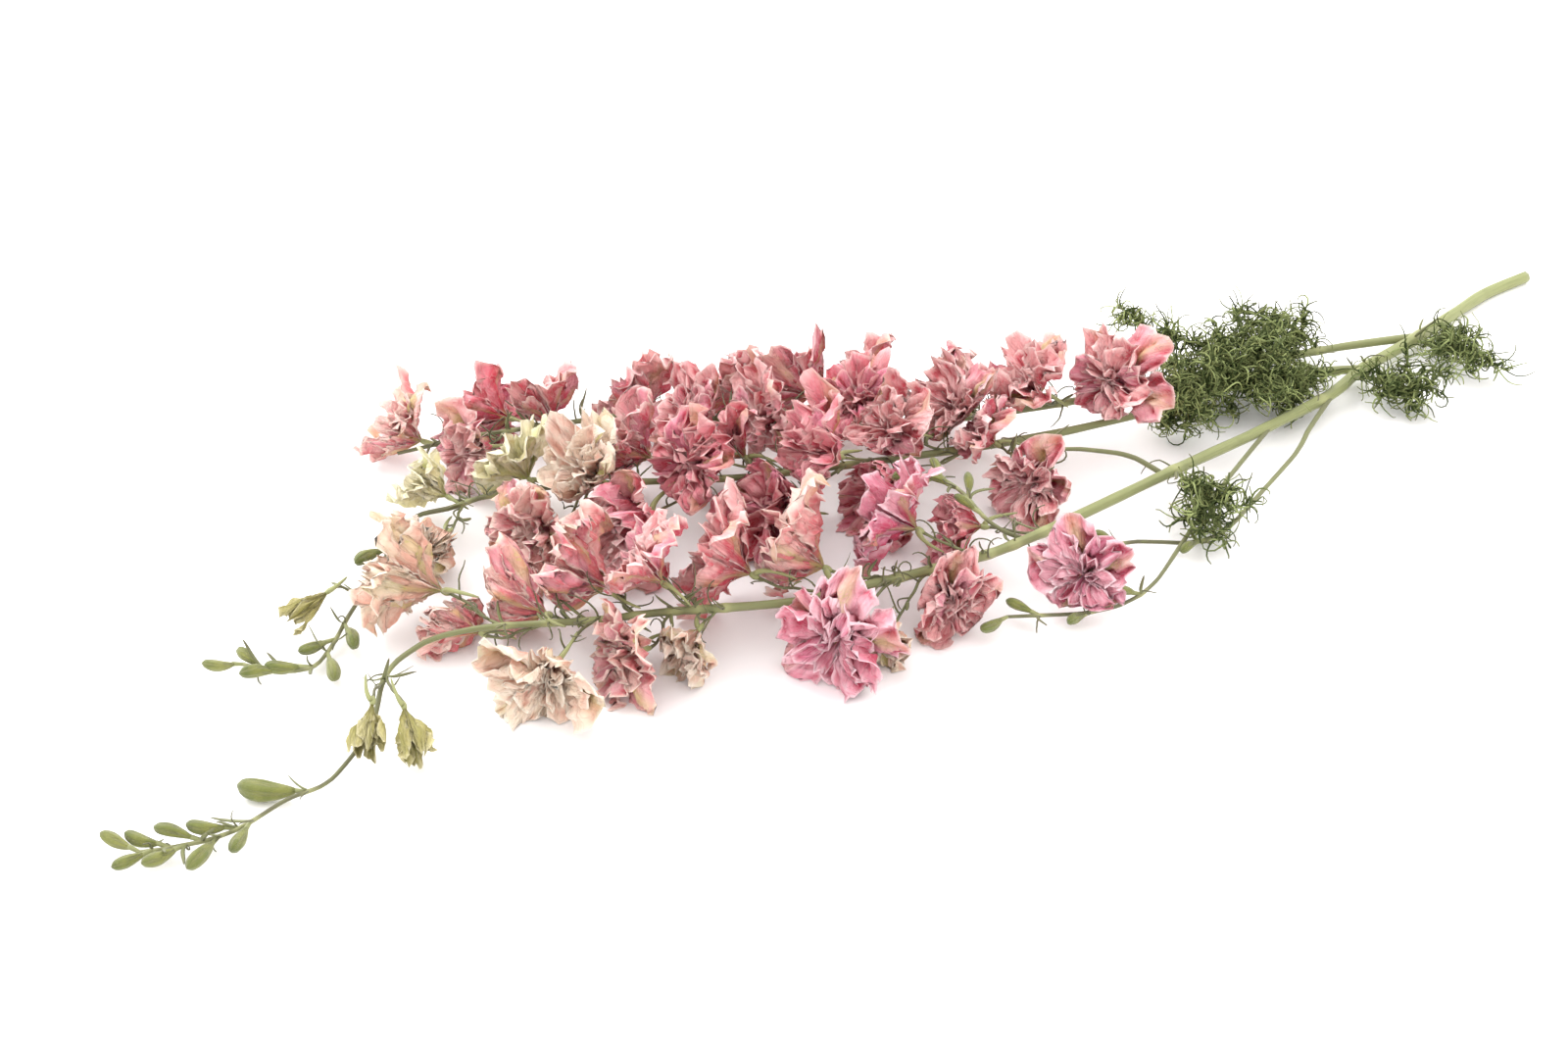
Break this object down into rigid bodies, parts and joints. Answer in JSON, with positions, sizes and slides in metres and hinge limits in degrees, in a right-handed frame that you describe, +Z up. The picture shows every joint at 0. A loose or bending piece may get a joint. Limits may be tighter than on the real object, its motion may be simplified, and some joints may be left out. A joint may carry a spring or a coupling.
{
  "type": "delphinium flower spike",
  "caption": "Cut and dried delphinium spike lying on its side: a branched green stem with crumpled pink double blooms, green buds at the tips and finely cut leaves.",
  "frame": {"origin": "on the table under the middle of the lying spike", "axes": "+X along the spike from the bud tip towards the cut end, +Z up from the table"},
  "size_m": [0.6388, 0.2496, 0.0605],
  "materials": {
    "stem_green": "matte",
    "leaf_green": "matte",
    "petal_lilac": "matte",
    "petal_pink": "matte",
    "petal_rose": "matte",
    "petal_blush": "matte",
    "petal_cream": "matte",
    "petal_white": "matte",
    "petal_green": "matte"
  },
  "bodies": {
    "root": {"stem": "stem_green", "bloom_01": "petal_lilac", "bloom_02": "petal_pink", "bloom_03": "petal_lilac", "bloom_04": "petal_cream", "bloom_05": "petal_blush", "bloom_06": "petal_pink", "bloom_07": "petal_cream", "bloom_08": "petal_blush", "bloom_09": "petal_pink", "bloom_10": "petal_blush", "bloom_11": "petal_blush", "bloom_12": "petal_cream", "bloom_13": "petal_cream", "bloom_14": "petal_blush", "bloom_15": "petal_green", "bloom_16": "petal_green", "bloom_17": "petal_rose", "bloom_18": "petal_lilac", "bloom_19": "petal_pink", "bloom_20": "petal_pink", "bloom_21": "petal_rose", "bloom_22": "petal_pink", "bloom_23": "petal_rose", "bloom_24": "petal_rose", "bloom_25": "petal_rose", "bloom_26": "petal_rose", "bloom_27": "petal_pink", "bloom_28": "petal_pink", "bloom_29": "petal_cream", "bloom_30": "petal_blush", "bloom_31": "petal_white", "bloom_32": "petal_white", "bloom_33": "petal_cream", "bloom_34": "petal_green", "bloom_35": "petal_pink", "bloom_36": "petal_pink", "bloom_37": "petal_pink", "bloom_38": "petal_pink", "bloom_39": "petal_pink", "bloom_40": "petal_rose", "bloom_41": "petal_pink", "bloom_42": "petal_pink", "bloom_43": "petal_pink", "bloom_44": "petal_pink", "bloom_45": "petal_pink", "bloom_46": "petal_pink", "bloom_47": "petal_rose", "bloom_48": "petal_pink", "bloom_49": "petal_blush", "frond_01": "leaf_green", "frond_02": "leaf_green", "frond_03": "leaf_green", "frond_04": "leaf_green", "frond_05": "leaf_green", "frond_06": "leaf_green", "frond_07": "leaf_green", "frond_08": "leaf_green", "frond_09": "leaf_green", "frond_10": "leaf_green"}
  },
  "joints": []
}
